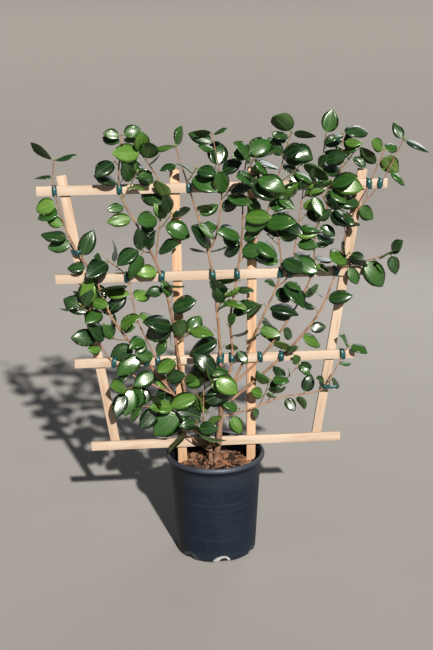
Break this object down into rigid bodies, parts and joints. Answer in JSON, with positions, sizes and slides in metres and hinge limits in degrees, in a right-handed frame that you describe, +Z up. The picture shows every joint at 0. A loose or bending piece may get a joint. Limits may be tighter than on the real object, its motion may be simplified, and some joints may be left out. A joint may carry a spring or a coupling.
{
  "type": "potted camellia shrub",
  "caption": "Camellia shrub trained as a flat fan on a wooden trellis and tied to its rails, with glossy oval leaves, standing in a round nursery pot.",
  "frame": {"origin": "middle of the pot's flat underside, on the surface that the pot stands on", "axes": "+Z up, +X along the trellis rails to the right as seen from the front, +Y towards the back"},
  "size_m": [1.0665, 0.284, 1.2615],
  "materials": {
    "pot_plastic": "black moulded plastic with a blue-grey bloom, satin, paler along the rolled rim",
    "bark_mix": "dark potting mix under chips of orange-brown bark, dull",
    "rail_lath": "raw planed pine, pale cream with fine straight grain, dull",
    "upright_lath": "raw planed pine, a little more orange than the rails, dull",
    "tie_tape": "dark blue-green soft plastic tape with a slight shine",
    "foliage": "glossy dark green leaves with a pale midrib and paler undersides, some of them young and lime green",
    "bark": "smooth grey-tan bark, pinker and finer on the young stems"
  },
  "bodies": {
    "root": {"pot": "pot_plastic", "potting_mix": "bark_mix", "rail_1": "rail_lath", "rail_2": "rail_lath", "rail_3": "rail_lath", "rail_4": "rail_lath", "upright_outer_left": "upright_lath", "upright_inner_left": "upright_lath", "upright_inner_right": "upright_lath", "upright_outer_right": "upright_lath", "trunk": "bark", "leaning_stem": "bark", "bough_left_tall": "bark", "bough_far_left": "bark", "bough_middle_left": "bark", "bough_middle_right": "bark", "bough_right_inner": "bark", "bough_right_tall": "bark", "bough_far_right": "bark", "foliage_left_tall": "foliage", "foliage_far_left": "foliage", "foliage_left_low": "foliage", "foliage_left_inner": "foliage", "foliage_middle_left": "foliage", "foliage_middle_right": "foliage", "foliage_right_inner": "foliage", "foliage_right_tall": "foliage", "foliage_far_right": "foliage", "foliage_low_right": "foliage", "foliage_low_left": "foliage", "foliage_low_middle": "foliage", "foliage_low_front": "foliage", "tie_left_tall_3": "tie_tape", "tie_left_tall_4": "tie_tape", "tie_left_top_4": "tie_tape", "tie_far_left_2": "tie_tape", "tie_far_left_3": "tie_tape", "tie_far_left_4": "tie_tape", "tie_left_low_2": "tie_tape", "tie_left_inner_2": "tie_tape", "tie_left_inner_3": "tie_tape", "tie_middle_left_2": "tie_tape", "tie_middle_left_3": "tie_tape", "tie_middle_left_4": "tie_tape", "tie_middle_top_4": "tie_tape", "tie_middle_right_2": "tie_tape", "tie_middle_right_3": "tie_tape", "tie_middle_right_4": "tie_tape", "tie_right_top_4": "tie_tape", "tie_right_inner_2": "tie_tape", "tie_right_inner_3": "tie_tape", "tie_right_side_3": "tie_tape", "tie_right_tall_2": "tie_tape", "tie_right_tall_3": "tie_tape", "tie_right_tall_4": "tie_tape", "tie_far_right_2": "tie_tape", "tie_far_right_3": "tie_tape", "tie_far_right_4": "tie_tape", "tie_far_right_top_4": "tie_tape", "tie_low_right_2": "tie_tape"}
  },
  "joints": []
}
